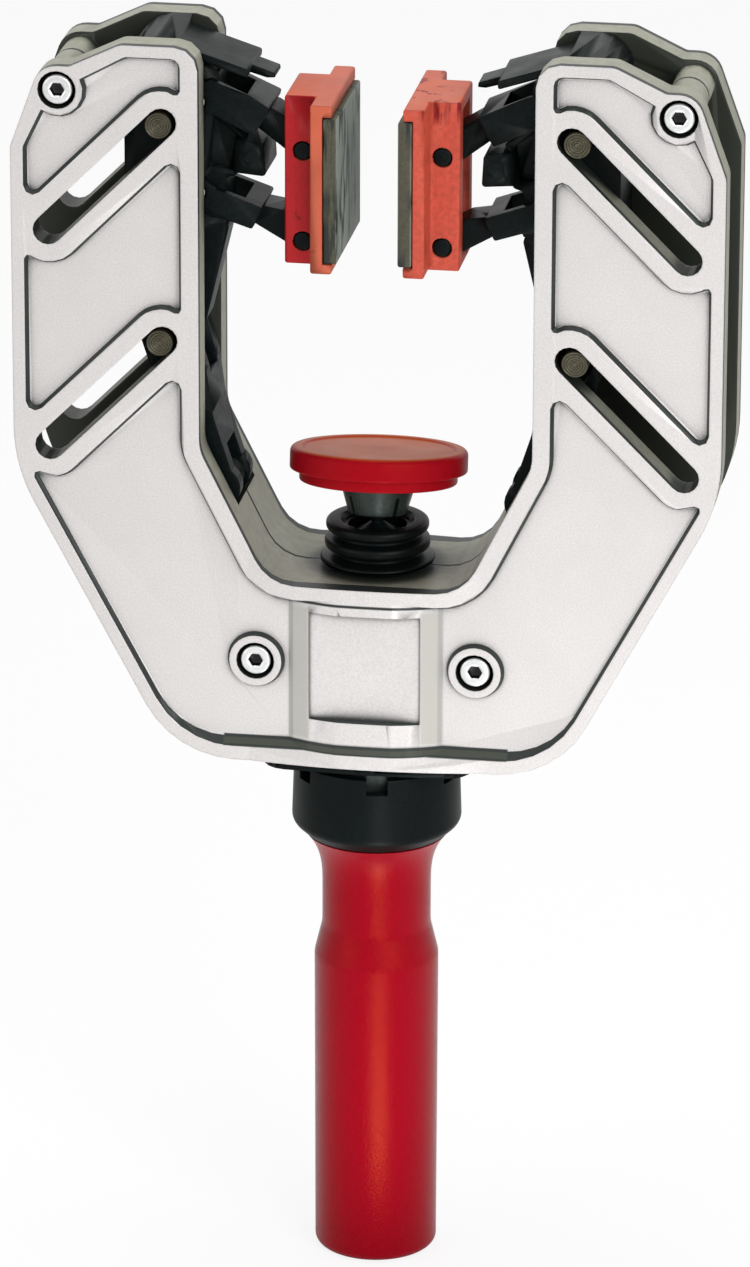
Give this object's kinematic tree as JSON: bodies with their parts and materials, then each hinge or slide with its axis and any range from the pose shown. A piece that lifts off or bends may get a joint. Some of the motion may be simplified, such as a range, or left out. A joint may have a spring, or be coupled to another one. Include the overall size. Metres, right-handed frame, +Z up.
{
  "type": "edge clamp",
  "caption": "Edge clamp with twin padded jaws on sliding wedge carriages and a screw-driven tilting pressure disc, turned by a straight grip.",
  "frame": {"origin": "centre of the grip's flat end, the lowest point of the clamp", "axes": "+Z up the spindle towards the jaws, +X across the two arms, -Y the front face"},
  "size_m": [0.1512, 0.0399, 0.2755],
  "materials": {
    "shell_grey": "satin light grey",
    "cast_black": "semi-gloss black",
    "red_plastic": "bright red",
    "grip_red": "glossy deep red",
    "pad_rubber": "grey-green",
    "steel": "turned",
    "pin_steel": "turned, dark",
    "bright_steel": "plated",
    "black_rubber": "matt black",
    "black_plastic": "satin black",
    "bronze": "turned",
    "dark_metal": "dark grey"
  },
  "bodies": {
    "frame": {"front_shell": "shell_grey", "rear_shell": "shell_grey", "base_flange": "black_plastic", "guide_bush": "bronze", "spindle_seal": "black_rubber", "left_arm_screw": "bright_steel", "left_base_screw": "bright_steel", "left_lever_pivot_pin": "steel", "left_lever_spring": "steel", "right_arm_screw": "bright_steel", "right_base_screw": "bright_steel", "right_lever_pivot_pin": "steel", "right_lever_spring": "steel"},
    "handle": {"handle_grip": "grip_red", "collar": "black_plastic", "drive_sleeve": "steel", "thrust_ring": "steel"},
    "spindle": {"spindle": "bright_steel"},
    "ball": {"spindle_ball": "steel"},
    "disc": {"ball_socket": "dark_metal", "pressure_disc": "red_plastic"},
    "left_carriage": {"left_carriage": "cast_black", "left_upper_guide_pin": "pin_steel", "left_lower_guide_pin": "pin_steel", "left_upper_link_pin": "steel", "left_lower_link_pin": "steel"},
    "left_lever": {"left_lever": "cast_black"},
    "left_upper_link": {"left_upper_link": "cast_black"},
    "left_lower_link": {"left_lower_link": "cast_black"},
    "left_jaw": {"left_jaw": "red_plastic", "left_jaw_pad": "pad_rubber", "left_jaw_upper_pin": "pin_steel", "left_jaw_lower_pin": "pin_steel"},
    "right_carriage": {"right_carriage": "cast_black", "right_upper_guide_pin": "pin_steel", "right_lower_guide_pin": "pin_steel", "right_upper_link_pin": "steel", "right_lower_link_pin": "steel"},
    "right_lever": {"right_lever": "cast_black"},
    "right_upper_link": {"right_upper_link": "cast_black"},
    "right_lower_link": {"right_lower_link": "cast_black"},
    "right_jaw": {"right_jaw": "red_plastic", "right_jaw_pad": "pad_rubber", "right_jaw_upper_pin": "pin_steel", "right_jaw_lower_pin": "pin_steel"}
  },
  "joints": [
    {"name": "handle_spin", "type": "hinge", "parent": "frame", "child": "handle", "pos_m": [0, 0, 0.1], "axis": [0, 0, 1], "range_deg": [0, 2880]},
    {"name": "spindle_advance", "type": "slide", "parent": "frame", "child": "spindle", "axis": [0, 0, 1], "range_m": [0, 0.012]},
    {"name": "disc_turn", "type": "hinge", "parent": "spindle", "child": "ball", "pos_m": [0, 0, 0.1726], "axis": [0, 0, 1], "range_deg": [-180, 180]},
    {"name": "disc_tilt", "type": "hinge", "parent": "ball", "child": "disc", "pos_m": [0, 0, 0.1726], "axis": [1, 0, 0], "range_deg": [-2, 22]},
    {"name": "left_carriage_slide", "type": "slide", "parent": "frame", "child": "left_carriage", "axis": [-0.7071, 0, -0.7071], "range_m": [0, 0.0325]},
    {"name": "left_lever_swing", "type": "hinge", "parent": "frame", "child": "left_lever", "pos_m": [-0.0331, 0, 0.1761], "axis": [0, -1, 0], "range_deg": [0, 54]},
    {"name": "left_upper_link_swing", "type": "hinge", "parent": "left_carriage", "child": "left_upper_link", "pos_m": [-0.0374, 0, 0.26114], "axis": [0, -1, 0], "range_deg": [0, 7]},
    {"name": "left_lower_link_swing", "type": "hinge", "parent": "left_carriage", "child": "left_lower_link", "pos_m": [-0.0374, 0, 0.2414], "axis": [0, -1, 0], "range_deg": [0, 7]},
    {"name": "left_jaw_level", "type": "hinge", "parent": "left_upper_link", "child": "left_jaw", "pos_m": [-0.0148, 0, 0.25184], "axis": [0, -1, 0], "range_deg": [-7, 0]},
    {"name": "right_carriage_slide", "type": "slide", "parent": "frame", "child": "right_carriage", "axis": [0.7071, 0, -0.7071], "range_m": [0, 0.0325]},
    {"name": "right_lever_swing", "type": "hinge", "parent": "frame", "child": "right_lever", "pos_m": [0.0331, 0, 0.1761], "axis": [0, 1, 0], "range_deg": [0, 54]},
    {"name": "right_upper_link_swing", "type": "hinge", "parent": "right_carriage", "child": "right_upper_link", "pos_m": [0.0374, 0, 0.26114], "axis": [0, 1, 0], "range_deg": [0, 7]},
    {"name": "right_lower_link_swing", "type": "hinge", "parent": "right_carriage", "child": "right_lower_link", "pos_m": [0.0374, 0, 0.2414], "axis": [0, 1, 0], "range_deg": [0, 7]},
    {"name": "right_jaw_level", "type": "hinge", "parent": "right_upper_link", "child": "right_jaw", "pos_m": [0.0148, 0, 0.25184], "axis": [0, 1, 0], "range_deg": [-7, 0]}
  ],
  "couplings": [
    {"joint": "spindle_advance", "follows": "handle_spin", "m_per_rad": 0.00023873},
    {"joint": "left_lever_swing", "follows": "left_carriage_slide", "rad_per_m": 28.85},
    {"joint": "left_lower_link_swing", "follows": "left_upper_link_swing", "ratio": 1},
    {"joint": "left_jaw_level", "follows": "left_upper_link_swing", "ratio": -1},
    {"joint": "right_lever_swing", "follows": "right_carriage_slide", "rad_per_m": 28.85},
    {"joint": "right_lower_link_swing", "follows": "right_upper_link_swing", "ratio": 1},
    {"joint": "right_jaw_level", "follows": "right_upper_link_swing", "ratio": -1}
  ]
}
